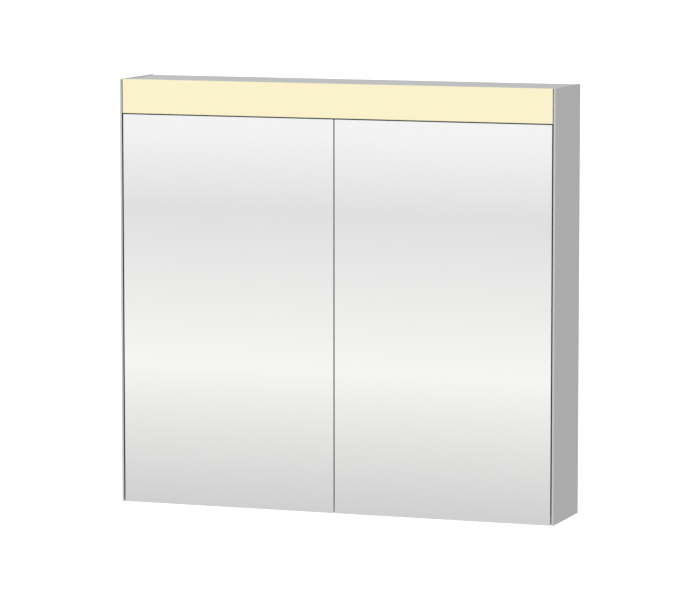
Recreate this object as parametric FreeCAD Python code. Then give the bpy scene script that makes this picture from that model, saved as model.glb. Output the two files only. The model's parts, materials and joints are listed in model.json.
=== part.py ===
import FreeCAD
import Part
import os

# Sizes are in millimetres.  X runs to the right, Y towards the wall, Z up.
# The origin is the centre of the wall face, so the front is at Y = -depth.
# Paired pieces are drawn on the right and mirrored to the left.

# overall size
width = 810.0
height = 760.0
depth = 148.0

# plates and boards
side_plate = 3.5
side_board = 12.5
top_board = 9.0
top_recess = 1.0
top_seam = 0.5
floor_board = 16.0
floor_recess = 14.0
partition_board = 20.0
deck_board = 12.0
rear_board = 4.0
inner_mirror = 3.0

# doors
strip_height = 60.5
door_gap = 2.0
door_side_gap = 2.5
door_thick = 20.0
door_to_carcass = 2.5
front_glass = 4.0
rear_glass = 3.0
frame_inset = 0.5
mirror_inset = 3.0
stile_width = 46.0
closing_width = 40.0
top_rail_height = 46.0
bottom_rail_height = 50.0
grip_height = 18.0
grip_radius = 5.0
bumper_radius = 3.2
bumper_height = 2.0

# hinges, measured from the door's hinge edge and from its front
hinge_end_distance = 95.0
pivot_from_edge = 10.0
pivot_from_front = 7.2
pin_radius = 1.2
pin_clearance = 0.05
cup_centre = 22.5
cup_radius = 17.5
cup_wall = 1.0
cup_floor = 0.7
pin_reach = 10.6
notch_half = 32.0
arm_half = 5.0
arm_thick = 2.2
arm_eye = 2.1
channel_half = 7.0
ear_from_edge = 33.0
ear_height = 24.5

# light box
diffuser_thick = 3.0
diffuser_side_gap = 1.4
tray_sheet = 1.5
tray_depth = 37.5
led_pitch = 20.0
leds_per_board = 19
led_height = 344.0

# wall fixing and mains inlet
wall_hole_x = 365.0
upper_hole_z = 290.0
lower_hole_z = -325.0
wall_hole_radius = 3.5
washer_radius = 8.0
inlet_x = 60.0
inlet_z = 345.0
inlet_radius = 5.0

# power panel
panel_x = (110.0, 262.0)
panel_z = (237.0, 303.0)
panel_depth = 30.0
socket_places = (137.0, 187.0)
socket_radius = 19.5
socket_recess = 17.5
rocker_x = 236.0
rocker_tilt = 7.0
stub_radius = 1.0

# shelves
shelf_heights = (-131.0, 88.0)
shelf_thick = 6.0
shelf_y = (-118.0, -12.0)
shelf_pin_rows = (-100.0, -30.0)
shelf_pin_radius = 2.5
sleeve_radius = 3.5
pin_pitch = 32.0

# planes that follow from the sizes above
half = width / 2
top = height / 2
bottom = -height / 2
front = -depth
plate_face = half - side_plate
board_face = plate_face - side_board
carcass_front = front + door_thick + door_to_carcass
strip_bottom = top - strip_height
door_top = strip_bottom - door_gap
door_outer = plate_face - door_side_gap
door_inner = door_gap / 2
deck_top = strip_bottom - 0.5
deck_under = deck_top - deck_board
floor_under = bottom + floor_recess
floor_top = floor_under + floor_board
middle = partition_board / 2
top_under = top - top_recess - top_board
rear_face = -rear_board
mirror_face = rear_face - inner_mirror
hinge_heights = (door_top - hinge_end_distance, bottom + hinge_end_distance)
panel_front = rear_face - panel_depth
socket_z = sum(panel_z) / 2

AXIS_X = FreeCAD.Vector(1, 0, 0)
AXIS_Y = FreeCAD.Vector(0, 1, 0)
AXIS_Z = FreeCAD.Vector(0, 0, 1)
ORIGIN = FreeCAD.Vector(0, 0, 0)


# A box between two values on each axis.
def slab(x_range, y_range, z_range):
    low = FreeCAD.Vector(min(x_range), min(y_range), min(z_range))
    length, breadth, rise = [max(r) - min(r) for r in (x_range, y_range, z_range)]
    return Part.makeBox(length, breadth, rise, low)


# A cylinder that starts at a point and runs along an axis.
def rod(start, axis, radius, length):
    return Part.makeCylinder(radius, length, FreeCAD.Vector(*start), axis)


# A polygon in X and Y, raised between two heights.
def prism(points, low, high):
    corners = [FreeCAD.Vector(x, y, low) for x, y in points]
    face = Part.Face(Part.makePolygon(corners + corners[:1]))
    return face.extrude(FreeCAD.Vector(0, 0, high - low))


# The straight edges that run along an axis and whose middles pass a test.
def edges_along(shape, axis, test):
    found = []
    for edge in shape.Edges:
        if not isinstance(edge.Curve, Part.Line):
            continue
        along = edge.Curve.Direction.cross(axis).Length < 1e-6
        if along and test(edge.CenterOfMass):
            found.append(edge)
    return found


def rounded(shape, axis, radius, test=lambda point: True):
    return shape.makeFillet(radius, edges_along(shape, axis, test))


# Breaks the edges around the face that lies at one Y.
def bevelled(shape, y, size):
    rim = []
    for edge in shape.Edges:
        if all(abs(vertex.Y - y) < 1e-6 for vertex in edge.Vertexes):
            rim.append(edge)
    return shape.makeChamfer(size, rim)


def mirrored(shape):
    return shape.mirror(ORIGIN, AXIS_X)


def both_sides(shapes):
    return shapes + [mirrored(shape) for shape in shapes]


def drilled(shape, tools):
    return shape.cut(Part.makeCompound(tools))


def joined(shapes):
    whole = shapes[0].fuse(shapes[1:])
    return whole.removeSplitter()


# A round lead through a list of points, with a ball at each bend.
def lead(points, radius):
    spots = [FreeCAD.Vector(*point) for point in points]
    runs = []
    for start, end in zip(spots, spots[1:]):
        runs.append(Part.makeCylinder(radius, (end - start).Length, start, end - start))
    bends = [Part.makeSphere(radius, spot) for spot in spots[1:-1]]
    return joined(runs + bends) if bends else runs[0]


# Writes the solids of one node and prints how many there are.
def save(node, shapes):
    solids = [solid for shape in shapes for solid in shape.Solids]
    whole = solids[0] if len(solids) == 1 else Part.makeCompound(solids)
    whole.exportStep("parts/" + node + ".step")
    sound = all(solid.isValid() for solid in solids)
    print(node, len(solids), "valid" if sound else "NOT VALID")


os.makedirs("parts", exist_ok=True)

# Outer plates: their front lips stand level with the door fronts.

plate = slab((plate_face, half), (front, 0), (bottom, top))
plate = plate.makeChamfer(0.4, edges_along(plate, AXIS_Z, lambda p: p.y < front + 1))
save("right_side_plate", [plate])
save("left_side_plate", [mirrored(plate)])

# Shelf pin holes: five heights around each shelf, the middle one in use.

pin_heights = []
for shelf in shelf_heights:
    for step in (-2, -1, 0, 1, 2):
        pin_heights.append(shelf - sleeve_radius + step * pin_pitch)

side_holes = []
partition_holes = []
for row in shelf_pin_rows:
    for z in pin_heights:
        side_holes.append(rod((board_face - 1, row, z), AXIS_X, shelf_pin_radius, 9))
        partition_holes.append(rod((middle - 8, row, z), AXIS_X, shelf_pin_radius, 9))
        partition_holes.append(rod((-middle - 1, row, z), AXIS_X, shelf_pin_radius, 9))
for z in hinge_heights:
    for offset in (-16, 16):
        start = (board_face - 1, front + 50, z + offset)
        side_holes.append(rod(start, AXIS_X, 1.9, 12))

# Carcass boards.

side = slab((board_face, plate_face), (carcass_front, 0), (floor_under, top_under))
side = drilled(side, side_holes)
save("right_carcass_side", [side])
save("left_carcass_side", [mirrored(side)])

top_edge = plate_face - top_seam
lid = slab((-top_edge, top_edge), (front + diffuser_thick, 0), (top_under, top - top_recess))
save("top_panel", [lid])

floor = slab((-board_face, board_face), (carcass_front, 0), (floor_under, floor_top))
save("bottom_panel", [floor])

partition = slab((-middle, middle), (carcass_front, rear_face), (floor_top, deck_under))
save("centre_partition", [drilled(partition, partition_holes)])

rear = slab((-board_face, board_face), (rear_face, 0), (floor_top, top_under))
wall_holes = []
for x in (-wall_hole_x, wall_hole_x):
    for z in (lower_hole_z, upper_hole_z):
        wall_holes.append(rod((x, -20, z), AXIS_Y, wall_hole_radius, 30))
inlet_hole = rod((inlet_x, -20, inlet_z), AXIS_Y, inlet_radius + 3, 30)
save("rear_panel", [drilled(rear, wall_holes + [inlet_hole])])

# Deck under the light box, its service opening, and the cover that closes it.

cover_x = (50.0, 310.0)
cover_y = (-105.0, -27.0)
deck_cuts = [slab((62, 298), (-93, -39), (deck_under - 1, deck_top + 1))]
cover_cuts = []
screws = []
for x in (cover_x[0] + 6, cover_x[1] - 6):
    for y in (cover_y[0] + 6, cover_y[1] - 6):
        deck_cuts.append(rod((x, y, deck_under), AXIS_Z, 1.4, 8))
        cover_cuts.append(rod((x, y, deck_under - 3), AXIS_Z, 1.4, 4))
        head = rod((x, y, deck_under - 3.2), AXIS_Z, 3.0, 1.7)
        shank = rod((x, y, deck_under - 1.5), AXIS_Z, 1.4, 9)
        slot = slab((x - 2, x + 2), (y - 0.4, y + 0.4), (deck_under - 4, deck_under - 2.6))
        screws.append(joined([head, shank]).cut(slot))
deck = slab((-board_face, board_face), (carcass_front, rear_face), (deck_under, deck_top))
save("light_deck", [drilled(deck, deck_cuts)])
cover = rounded(slab(cover_x, cover_y, (deck_under - 1.5, deck_under)), AXIS_Z, 4)
save("service_cover", [drilled(cover, cover_cuts)])
save("service_cover_screws", screws)

# Mirror glass on the rear panel, cut back around the hangers and the sockets.

glass = slab((middle + 0.5, board_face - 0.5), (mirror_face, rear_face),
             (floor_top + 0.5, deck_under - 0.5))
hanger_cut = slab((342.5, board_face), (-20, 0), (252.5, deck_under))
washer_cut = rod((wall_hole_x, -20, lower_hole_z), AXIS_Y, washer_radius + 0.3, 30)
glass = glass.cut([hanger_cut, washer_cut])
panel_cut = slab((panel_x[0] - 0.5, panel_x[1] + 0.5), (-20, 0), (panel_z[0] - 0.5, deck_under))
save("left_rear_mirror", [mirrored(glass)])
save("right_rear_mirror", [glass.cut(panel_cut)])

# Lit strip: an opal front with two snap ribs, the tray behind it, its ends.

strip_half = plate_face - diffuser_side_gap
rib_half = board_face - 1
diffuser = slab((-strip_half, strip_half), (front, front + diffuser_thick), (strip_bottom, top))
diffuser = bevelled(diffuser, front, 0.5)
rib_y = (front + diffuser_thick, front + 10)
ribs = []
for z in (deck_top + 2, top_under - 4):
    ribs.append(slab((-rib_half, rib_half), rib_y, (z, z + 1.5)))
save("light_diffuser", [joined([diffuser] + ribs)])

tray_x = (0.6 - board_face, board_face - 0.6)
tray_y = (front + diffuser_thick + 0.2, front + tray_depth)
tray_z = (deck_top, top_under - 0.5)
back_y = (tray_y[1] - tray_sheet, tray_y[1])
tray = joined([
    slab(tray_x, tray_y, (tray_z[0], tray_z[0] + tray_sheet)),
    slab(tray_x, tray_y, (tray_z[1] - tray_sheet, tray_z[1])),
    slab(tray_x, back_y, tray_z),
])
save("light_tray", [tray.cut(rod((52, back_y[0] - 5, led_height), AXIS_Y, 2.2, 15))])

end_y = (tray_y[0], carcass_front - 0.2)
end = slab((board_face - 0.5, plate_face - 0.5), end_y, tray_z)
save("light_end_caps", both_sides([end]))

# LED boards and their chips.

board_y = (back_y[0] - 1.6, back_y[0])
boards = slab((4, 384), board_y, (led_height - 12, led_height + 12))
save("led_boards", both_sides([boards]))
chips = []
for index in range(leds_per_board):
    x = 14 + index * led_pitch
    chips.append(slab((x - 2.5, x + 2.5), (board_y[0] - 1.2, board_y[0]),
                      (led_height - 2.5, led_height + 2.5)))
save("led_chips", both_sides(chips))

# Driver on the service cover, terminal block on the deck, and the leads.

driver = slab((80, 270), (-85, -47), (deck_under, deck_under + 26))
save("led_driver", [rounded(driver, AXIS_X, 2, lambda p: p.z > deck_under + 20)])
block = slab((0, 44), (-76, -54), (deck_top, deck_top + 16))
screw_wells = [rod((x, -65, deck_top + 10), AXIS_Z, 2.2, 10) for x in (8, 22, 36)]
save("terminal_block", [drilled(block, screw_wells)])
lamp_lead = lead([(80, -72, 325), (52, -72, 325), (52, -72, led_height),
                  (52, back_y[0], led_height)], 1.6)
supply_lead = lead([(44, -60, 327), (80, -60, 327)], 1.8)
jumper = lead([(-12, board_y[0] - 1.2, led_height + 8), (12, board_y[0] - 1.2, led_height + 8)], 1.2)
save("internal_leads", [lamp_lead, supply_lead, jumper])

neck = rod((inlet_x, rear_face, inlet_z), AXIS_Y, inlet_radius + 3, rear_board)
collar = rod((inlet_x, rear_face - 2.5, inlet_z), AXIS_Y, inlet_radius + 6, 2.5)
inlet_bore = rod((inlet_x, -20, inlet_z), AXIS_Y, inlet_radius, 30)
save("cable_grommet", [joined([neck, collar]).cut(inlet_bore)])

# Upper wall hangers with their two adjusting screws, and the snap covers.

hanger_x = (343.0, 387.0)
hanger_z = (253.0, 305.0)
hanger_plate = slab(hanger_x, (rear_face - 2.5, rear_face), hanger_z)
hanger_block = slab((347, 383), (-22, rear_face - 2.5), (257, 279))
hanger = joined([hanger_plate, hanger_block])
hanger = hanger.cut(rod((wall_hole_x, -20, upper_hole_z), AXIS_Y, wall_hole_radius, 30))
adjusters = []
for x in (356, 374):
    hanger = hanger.cut(rod((x, -22, 268), AXIS_Y, 2, 12))
    turned = joined([rod((x, -24, 268), AXIS_Y, 3.4, 2), rod((x, -22, 268), AXIS_Y, 2, 12)])
    adjusters.append(turned.cut(slab((x - 2.4, x + 2.4), (-25, -23), (267.6, 268.4))))
save("hanger_brackets", both_sides([hanger]))
save("hanger_adjust_screws", both_sides(adjusters))
shell = slab(hanger_x, (-30, rear_face - 2.5), hanger_z)
shell = rounded(shell, AXIS_Y, 3)
shell = bevelled(shell, -30, 0.8)
hollow = slab((hanger_x[0] + 1.5, hanger_x[1] - 1.5), (-28.5, 0), (hanger_z[0] + 1.5, hanger_z[1] - 1.5))
save("hanger_covers", both_sides([shell.cut(hollow)]))

washer = rod((wall_hole_x, mirror_face, lower_hole_z), AXIS_Y, washer_radius, inner_mirror)
washer = washer.cut(rod((wall_hole_x, -20, lower_hole_z), AXIS_Y, wall_hole_radius, 30))
save("lower_wall_washers", both_sides([washer]))

# Power panel: a hollow housing with two socket bores and a switch well.

panel = slab(panel_x, (panel_front, rear_face), panel_z)
panel = rounded(panel, AXIS_Y, 4)
panel = bevelled(panel, panel_front, 1)
panel = panel.cut(slab((panel_x[0] + 2, panel_x[1] - 2), (panel_front + 2.5, 0),
                       (panel_z[0] + 2, panel_z[1] - 2)))
well_out = slab((rocker_x - 12.5, rocker_x + 12.5), (panel_front - 1, panel_front + 12),
                (socket_z - 18.5, socket_z + 18.5))
well_in = slab((rocker_x - 11, rocker_x + 11), (panel_front - 1, panel_front + 10.5),
               (socket_z - 17, socket_z + 17))
pivot_y = panel_front + 3
stub_hole = rod((rocker_x - 15, pivot_y, socket_z), AXIS_X, stub_radius + pin_clearance, 30)
panel = joined([panel, well_out]).cut([well_in, stub_hole])
for x in socket_places:
    panel = panel.cut(rod((x, panel_front - 5, socket_z), AXIS_Y, socket_radius + 1.5, 15))
save("power_panel", [panel])

inserts = []
clips = []
socket_rim = panel_front - 0.8
for x in socket_places:
    rim = rod((x, socket_rim, socket_z), AXIS_Y, socket_radius + 3, 0.8)
    sleeve = rod((x, panel_front, socket_z), AXIS_Y, socket_radius + 1.5, 20)
    cuts = [rod((x, socket_rim, socket_z), AXIS_Y, socket_radius, socket_recess)]
    for offset in (-9.5, 9.5):
        cuts.append(rod((x + offset, panel_front, socket_z), AXIS_Y, 2.6, 25))
    for side in (-1, 1):
        slot_z = (socket_z + side * 19, socket_z + side * 20.9)
        cuts.append(slab((x - 2.6, x + 2.6), (panel_front + 1, panel_front + 15.5), slot_z))
        clip_z = (socket_z + side * 19.7, socket_z + side * 20.7)
        clips.append(slab((x - 2.4, x + 2.4), (panel_front + 1, panel_front + 15.5), clip_z))
    inserts.append(joined([rim, sleeve]).cut(cuts))
save("socket_inserts", inserts)
save("earth_contacts", clips)

# Switch rocker: a shallow V across the front, two stubs as its axle.

rocker_rise = 1.9
profile = [(15.6, 4.5 + rocker_rise), (0, 4.5), (-15.6, 4.5 + rocker_rise),
           (-15.6, 3.4), (-6, -3.5), (6, -3.5), (15.6, 3.4)]
corners = []
for z, forward in profile:
    corners.append(FreeCAD.Vector(rocker_x - 10.4, pivot_y - forward, socket_z + z))
rocker = Part.Face(Part.makePolygon(corners + corners[:1])).extrude(FreeCAD.Vector(20.8, 0, 0))
axle = rod((rocker_x - 11.9, pivot_y, socket_z), AXIS_X, stub_radius, 23.8)
rocker = joined([rocker, axle])
rocker.rotate(FreeCAD.Vector(rocker_x, pivot_y, socket_z), AXIS_X, -rocker_tilt)
save("power_rocker", [rocker])

# Glass shelves on pins with rubber sleeves.

pins = []
sleeves = []
for name, z in zip(("lower", "upper"), shelf_heights):
    shelf = slab((middle + 1, board_face - 1), shelf_y, (z, z + shelf_thick))
    shelf = rounded(shelf, AXIS_Z, 4, lambda p: p.y < shelf_y[0] + 1)
    shelf = rounded(shelf, AXIS_X, 1, lambda p: p.y < shelf_y[0] + 1)
    save("right_" + name + "_shelf", [shelf])
    save("left_" + name + "_shelf", [mirrored(shelf)])
    for row in shelf_pin_rows:
        height_of_pin = z - sleeve_radius
        for start in (board_face - 7, middle - 8):
            pins.append(rod((start, row, height_of_pin), AXIS_X, shelf_pin_radius, 15))
        for start in (board_face - 7, middle + 1):
            tube = rod((start, row, height_of_pin), AXIS_X, sleeve_radius, 6)
            bore = rod((start, row, height_of_pin), AXIS_X, shelf_pin_radius, 6)
            sleeves.append(tube.cut(bore))
save("shelf_supports", both_sides(pins))
save("shelf_support_sleeves", both_sides(sleeves))


# Hinge pieces are laid out from the door's hinge edge (x) and its front (y).
def from_edge(x):
    return door_outer - x


def from_front(y):
    return front + y


def hinge_slab(x_range, y_range, z_range):
    return slab([from_edge(x) for x in x_range], [from_front(y) for y in y_range], z_range)


def hinge_prism(points, low, high):
    return prism([(from_edge(x), from_front(y)) for x, y in points], low, high)


def hinge_pin(z, radius, reach):
    start = (from_edge(pivot_from_edge), from_front(pivot_from_front), z - reach)
    return rod(start, AXIS_Z, radius, 2 * reach)


# The curved arm reaches out of the cup, around the door's rear edge, and back
# along the carcass side, where it straddles the ridge of its mounting plate.
def hinge_arm(z):
    low = pivot_from_front - arm_eye
    curl = hinge_prism([
        (pivot_from_edge, low), (26.7, low), (26.7, 24.6), (19.2, 33), (16.9, 33),
        (16.9, 31), (24.5, 22.6), (24.5, low + arm_thick), (pivot_from_edge, low + arm_thick),
    ], z - arm_half, z + arm_half)
    eye = hinge_pin(z, arm_eye, arm_half)
    back = hinge_slab((16.9, 18.5), (31, 88), (z - channel_half, z + channel_half))
    flanges = []
    for side in (-1, 1):
        flange_z = (z + side * (channel_half - 1.3), z + side * channel_half)
        flanges.append(hinge_slab((12.5, 16.9), (33, 88), flange_z))
    arm = joined([curl, eye, back] + flanges)
    cuts = [hinge_pin(z, pin_radius + pin_clearance, 10)]
    for y in (46, 72):
        cuts.append(rod((from_edge(20), from_front(y), z), AXIS_X, 1.5, 6))
    return arm.cut(cuts)


def hinge_plate(z):
    rail = hinge_slab((10, 12.2), (30, 84), (z - 8, z + 8))
    wing = rounded(hinge_slab((10, 12.2), (41, 59), (z - 24, z + 24)), AXIS_X, 5)
    ridge = hinge_slab((12.2, 16.6), (34, 82), (z - 5, z + 5))
    cuts = []
    for y in (46, 72):
        cuts.append(rod((from_edge(17), from_front(y), z), AXIS_X, 1.5, 4.6))
    for offset in (-16, 16):
        cuts.append(rod((from_edge(13), from_front(50), z + offset), AXIS_X, 1.9, 4))
    return joined([rail, wing, ridge]).cut(cuts)


# A slotted screw along X: its head stands proud towards the cabinet's middle.
def side_screw(x, y, z, head_radius, head_height, shank_radius, shank_length):
    face = from_edge(x)
    head = rod((face - head_height, y, z), AXIS_X, head_radius, head_height)
    shank = rod((face, y, z), AXIS_X, shank_radius, shank_length)
    slot = slab((face - head_height - 1, face - head_height + 0.7), (y - 2, y + 2), (z - 0.4, z + 0.4))
    return joined([head, shank]).cut(slot)


arms = [hinge_arm(z) for z in hinge_heights]
plates = [hinge_plate(z) for z in hinge_heights]
arm_screws = []
plate_screws = []
for z in hinge_heights:
    arm_screws.append(side_screw(18.5, from_front(46), z, 3.0, 1.6, 1.5, 6))
    arm_screws.append(side_screw(18.5, from_front(72), z, 3.8, 2.0, 1.5, 6))
    for offset in (-16, 16):
        plate_screws.append(side_screw(12.2, from_front(50), z + offset, 3.4, 1.4, 1.9, 13))
save("hinge_arms", both_sides(arms))
save("hinge_plates", both_sides(plates))
save("hinge_arm_screws", both_sides(arm_screws))
save("hinge_plate_screws", both_sides(plate_screws))


# The cup's two cheeks carry the pin; the ears beside the rim take the screws.
def hinge_cup(z):
    centre = (from_edge(cup_centre), from_front(front_glass), z)
    inner = rod((centre[0], centre[1] + cup_floor, z), AXIS_Y, cup_radius - cup_wall, 20)
    body = rod(centre, AXIS_Y, cup_radius, door_thick - front_glass - rear_glass)
    ears = hinge_slab((23, 42), (17, 18), (z - 30, z + 30))
    ears = rounded(ears, AXIS_Y, 6)
    shell = joined([body, ears]).cut(inner)
    cheeks = []
    for side in (-1, 1):
        cheek = hinge_slab((6.5, 13.4), (front_glass, 10.2), (z + side * 5.5, z + side * 12))
        cheeks.append(cheek.common(body))
    cuts = [hinge_pin(z, pin_radius, pin_reach)]
    for side in (-1, 1):
        start = (from_edge(ear_from_edge), from_front(16), z + side * ear_height)
        cuts.append(rod(start, AXIS_Y, 1.7, 4))
    return joined([shell] + cheeks).cut(cuts)


def cup_screw(z):
    x = from_edge(ear_from_edge)
    head = rod((x, from_front(18), z), AXIS_Y, 3.3, 1.2)
    shank = rod((x, from_front(8), z), AXIS_Y, 1.7, 10)
    slot = slab((x - 2, x + 2), (from_front(18.6), from_front(20)), (z - 0.4, z + 0.4))
    return joined([head, shank]).cut(slot)


cups = [hinge_cup(z) for z in hinge_heights]
pivots = [hinge_pin(z, pin_radius, pin_reach) for z in hinge_heights]
ear_heights = [z + side * ear_height for z in hinge_heights for side in (-1, 1)]
cup_screws = [cup_screw(z) for z in ear_heights]

# Door frame between the two glasses: two stiles and two rails.

frame_y = (from_front(front_glass), from_front(door_thick - rear_glass))
frame_low = bottom + frame_inset
frame_high = door_top - frame_inset
stile = slab((from_edge(frame_inset), from_edge(stile_width)), frame_y, (frame_low, frame_high))
stile_cuts = []
for z in hinge_heights:
    start = (from_edge(cup_centre), frame_y[0], z)
    stile_cuts.append(rod(start, AXIS_Y, cup_radius, 13))
for z in ear_heights:
    start = (from_edge(ear_from_edge), from_front(8), z)
    stile_cuts.append(rod(start, AXIS_Y, 1.7, 10))
stile = drilled(stile, stile_cuts)
closing_x = (door_inner + frame_inset, door_inner + closing_width)
closing = slab(closing_x, frame_y, (frame_low, frame_high))
rail_x = (closing_x[1], from_edge(stile_width))
top_rail = slab(rail_x, frame_y, (frame_high - top_rail_height, frame_high))
bottom_rail = slab(rail_x, frame_y, (frame_low, frame_low + bottom_rail_height))
groove = rod((rail_x[0], frame_y[1], bottom + grip_height / 2), AXIS_X, grip_radius,
             rail_x[1] - rail_x[0])
bottom_rail = bottom_rail.cut(groove)

# Door glasses: the rear one is notched around the hinge cups.

front_mirror = slab((door_inner, door_outer), (front, from_front(front_glass)), (bottom, door_top))
front_mirror = bevelled(front_mirror, front, 0.8)
rear_y = (from_front(door_thick - rear_glass), from_front(door_thick))
rear_mirror = slab((door_inner + mirror_inset, from_edge(mirror_inset)), rear_y,
                   (bottom + grip_height, door_top - mirror_inset))
for z in hinge_heights:
    notch = slab((from_edge(stile_width), door_outer + 10), (rear_y[0] - 1, rear_y[1] + 1),
                 (z - notch_half, z + notch_half))
    notch = rounded(notch, AXIS_Y, 6, lambda p: p.x < door_outer)
    rear_mirror = rear_mirror.cut(notch)

bumpers = []
for z in (door_top - 27.5, bottom + 45):
    dome = rod((door_inner + 7, rear_y[1], z), AXIS_Y, bumper_radius, bumper_height)
    rim = [edge for edge in dome.Edges if edge.CenterOfMass.y > rear_y[1] + 1.9]
    bumpers.append(dome.makeFillet(1.2, rim))

door = {
    "door_front_mirror": [front_mirror],
    "door_rear_mirror": [rear_mirror],
    "door_hinge_stile": [stile],
    "door_closing_stile": [closing],
    "door_top_rail": [top_rail],
    "door_bottom_rail": [bottom_rail],
    "door_hinge_cups": cups,
    "door_hinge_pins": pivots,
    "door_cup_screws": cup_screws,
    "door_bumpers": bumpers,
}
for node, shapes in door.items():
    save("right_" + node, shapes)
    save("left_" + node, [mirrored(shape) for shape in shapes])
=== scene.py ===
import json
import math

import bpy
import numpy as np
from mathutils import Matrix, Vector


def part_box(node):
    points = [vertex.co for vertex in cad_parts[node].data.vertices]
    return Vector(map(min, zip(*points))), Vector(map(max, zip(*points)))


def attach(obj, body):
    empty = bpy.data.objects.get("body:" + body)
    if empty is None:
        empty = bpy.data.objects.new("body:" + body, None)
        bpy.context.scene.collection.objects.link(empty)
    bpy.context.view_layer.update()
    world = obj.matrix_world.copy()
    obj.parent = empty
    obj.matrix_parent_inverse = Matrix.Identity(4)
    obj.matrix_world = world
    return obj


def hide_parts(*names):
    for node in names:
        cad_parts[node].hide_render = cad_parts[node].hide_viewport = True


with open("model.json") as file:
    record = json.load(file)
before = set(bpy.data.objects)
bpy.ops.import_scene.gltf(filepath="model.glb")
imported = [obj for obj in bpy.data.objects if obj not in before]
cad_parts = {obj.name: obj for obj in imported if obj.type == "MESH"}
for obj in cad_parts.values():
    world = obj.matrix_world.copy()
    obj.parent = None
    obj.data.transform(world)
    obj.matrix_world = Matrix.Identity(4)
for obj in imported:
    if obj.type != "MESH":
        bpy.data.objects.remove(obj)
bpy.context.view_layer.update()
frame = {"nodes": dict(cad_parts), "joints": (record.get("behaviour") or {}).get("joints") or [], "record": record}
bodyOf = {node: body for body, nodes in frame["record"]["behaviour"]["bodies"].items()
          for node in nodes}
slotOf = {part["node"]: part["material_slot"] for part in frame["record"]["subparts"]}
sides = {"left": -1, "right": 1}
print("frame loaded")


def toLinear(hexColour):  # sRGB hex to the linear colour that Blender mixes
    parts = [int(hexColour[i:i + 2], 16) / 255 for i in (1, 3, 5)]
    parts = [p / 12.92 if p <= 0.04045 else ((p + 0.055) / 1.055) ** 2.4 for p in parts]
    return (*parts, 1.0)


# One node with its settings; an input is a plain value or the socket that feeds it.
def addNode(tree, kind, settings=None, inputs=None, stops=None):
    node = tree.nodes.new(kind)
    for name, value in (settings or {}).items():
        setattr(node, name, value)
    for name, value in (inputs or {}).items():
        if isinstance(value, bpy.types.NodeSocket):
            tree.links.new(value, node.inputs[name])
        else:
            node.inputs[name].default_value = value
    if stops:
        marks = node.color_ramp.elements
        while len(marks) > 1:
            marks.remove(marks[-1])
        for count, (place, colour) in enumerate(stops):
            mark = marks[0] if count == 0 else marks.new(place)
            mark.position, mark.color = place, colour
    return node


# From the right and a little above, with a long lens.
viewPoint = {
    "place": (2.5360, -7.1638, 0.8547),
    "headingDeg": 19.6565,
    "tiltDeg": -6.539,
    "lensMm": 219.62,
    "sensorMm": 36.0,
    "farthest": 200.0,
}


def makeCamera(spec):
    data = bpy.data.cameras.new("studioCamera")
    data.lens = spec["lensMm"]
    data.sensor_width = spec["sensorMm"]
    data.clip_end = spec["farthest"]
    camera = bpy.data.objects.new("studioCamera", data)
    camera.location = spec["place"]
    camera.rotation_euler = (math.radians(90 + spec["tiltDeg"]), 0,
                             math.radians(spec["headingDeg"]))
    bpy.context.collection.objects.link(camera)
    bpy.context.scene.camera = camera


makeCamera(viewPoint)
print("camera set")

# The mirrors look out on bands of lighter and darker tone, which stand for a large
# empty room.  Each band is a slope: how far a reflected ray rises for each metre that
# it travels forward.
backdropBands = [
    (-1.20, "#DADADA"),  # floor close to the cabinet
    (-0.60, "#F0F0F0"),
    (-0.30, "#DCDCDC"),
    (-0.18, "#CCCCCC"),  # foot of the far wall, in shade
    (-0.14, "#F6F6F4"),  # the wall's bright lower part
    (-0.10, "#E0E0E0"),  # a softer shade across it
    (-0.08, "#F3F3F3"),  # a second bright stretch, nearly up to eye level
    (-0.05, "#F5F5F5"),
    (0.10, "#DCDCDC"),
    (0.60, "#E3E3E3"),
    (1.50, "#EEEEEE"),  # ceiling
]
studio = {
    "floorHeight": -1.45,
    "floorReach": 90.0,
    "slopeCentre": -0.125,  # the middle of the bands that the camera sees
    "slopeSpread": 12.0,  # widens those bands on the ramp
    "leastForward": 0.3,  # keeps the slope finite for rays that run along the wall
    "silverLoss": 0.93,  # what silvering reflects, made up for in the bands
    "backTone": "#CFCFCF",  # seen by glossy rays that run towards the wall
    "backFrom": (-0.1, 0.15),  # their share of +Y where that tone starts and is full
    "skyTones": ("#CFCFCF", "#FFFFFF"),  # what lights the matt surfaces
    "skyFrom": (-0.6, 0.8),  # a ray's share of +Z where each of them is reached
}


def bandPlace(slope):  # the same squeeze as the world's own arctangent
    return 0.5 + math.atan((slope - studio["slopeCentre"]) * studio["slopeSpread"]) / math.pi


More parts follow.
